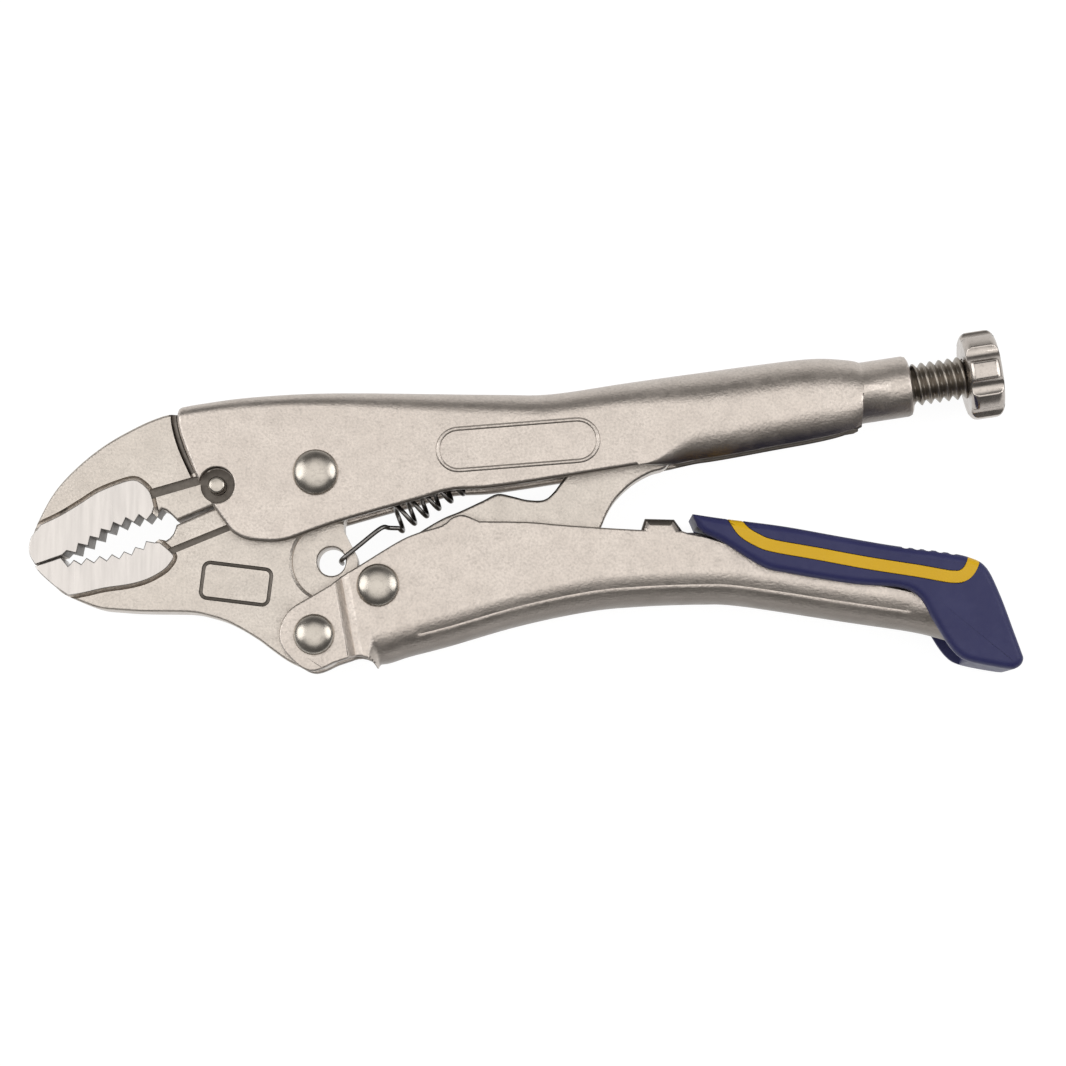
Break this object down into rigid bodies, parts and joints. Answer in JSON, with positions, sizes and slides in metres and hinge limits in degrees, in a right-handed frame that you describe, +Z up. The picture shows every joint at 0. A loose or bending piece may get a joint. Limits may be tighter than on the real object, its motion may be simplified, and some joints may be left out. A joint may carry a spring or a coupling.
{
  "type": "locking pliers",
  "caption": "Over-centre locking pliers with curved toothed jaws and wire cutter, pressed channel handles, adjusting screw with knob, and a release lever with a two-tone grip.",
  "frame": {"origin": "middle of the tool's length and height outline, on the surface it lies on", "axes": "+X towards the adjusting knob, +Y from the lower handle to the upper handle, +Z up through the thickness"},
  "size_m": [0.1383, 0.0484, 0.0144],
  "materials": {
    "plated_steel": "satin nickel plate over pressed steel sheet, fine grain",
    "jaw_steel": "satin nickel plate over forged steel, gripping pads ground bright",
    "rivet_steel": "plated steel, domed heads",
    "screw_steel": "plated steel",
    "spring_wire": "dark drawn wire",
    "blue_grip": "matte dark blue moulding",
    "yellow_grip": "matte yellow moulding"
  },
  "bodies": {
    "upper_handle": {"upper_handle": "plated_steel", "upper_jaw": "jaw_steel", "upper_jaw_pin": "rivet_steel", "main_pivot_rivet": "rivet_steel", "jaw_spring": "spring_wire"},
    "lower_jaw": {"lower_jaw": "jaw_steel", "handle_pivot_rivet": "rivet_steel"},
    "lower_handle": {"lower_handle": "plated_steel", "link_pivot_rivet": "rivet_steel"},
    "toggle_link": {"toggle_link": "plated_steel"},
    "release_lever": {"release_lever": "plated_steel", "grip_body": "blue_grip", "grip_core": "yellow_grip", "grip_pad": "blue_grip"},
    "adjusting_screw": {"adjusting_screw": "screw_steel"},
    "adjusting_knob": {"adjusting_knob": "screw_steel"}
  },
  "joints": [
    {"name": "jaw_open", "type": "hinge", "parent": "upper_handle", "child": "lower_jaw", "pos_m": [-0.02915, 0.0035, 0.0072], "axis": [0, 0, 1], "range_deg": [0, 20], "deforming": ["jaw_spring"]},
    {"name": "handle_open", "type": "hinge", "parent": "lower_jaw", "child": "lower_handle", "pos_m": [-0.02925, -0.0191, 0.0072], "axis": [0, 0, 1], "range_deg": [-84, 0]},
    {"name": "link_swing", "type": "hinge", "parent": "lower_handle", "child": "toggle_link", "pos_m": [-0.02045, -0.0122, 0.0072], "axis": [0, 0, 1], "range_deg": [0, 85]},
    {"name": "release_press", "type": "hinge", "parent": "lower_handle", "child": "release_lever", "pos_m": [0.01935, -0.00495, 0.0072], "axis": [0, 0, 1], "range_deg": [-2, 0]},
    {"name": "screw_feed", "type": "slide", "parent": "upper_handle", "child": "adjusting_screw", "axis": [0.9885, 0.1513, 0], "range_m": [0, 0.00635]},
    {"name": "knob_turn", "type": "hinge", "parent": "adjusting_screw", "child": "adjusting_knob", "pos_m": [0.05785, 0.01685, 0.0072], "axis": [0.9885, 0.1513, 0], "range_deg": [0, 1801]}
  ],
  "couplings": [
    {"joint": "handle_open", "follows": "jaw_open", "ratio": -4.175},
    {"joint": "link_swing", "follows": "jaw_open", "ratio": 4.225},
    {"joint": "knob_turn", "follows": "screw_feed", "rad_per_m": 4947.4}
  ]
}
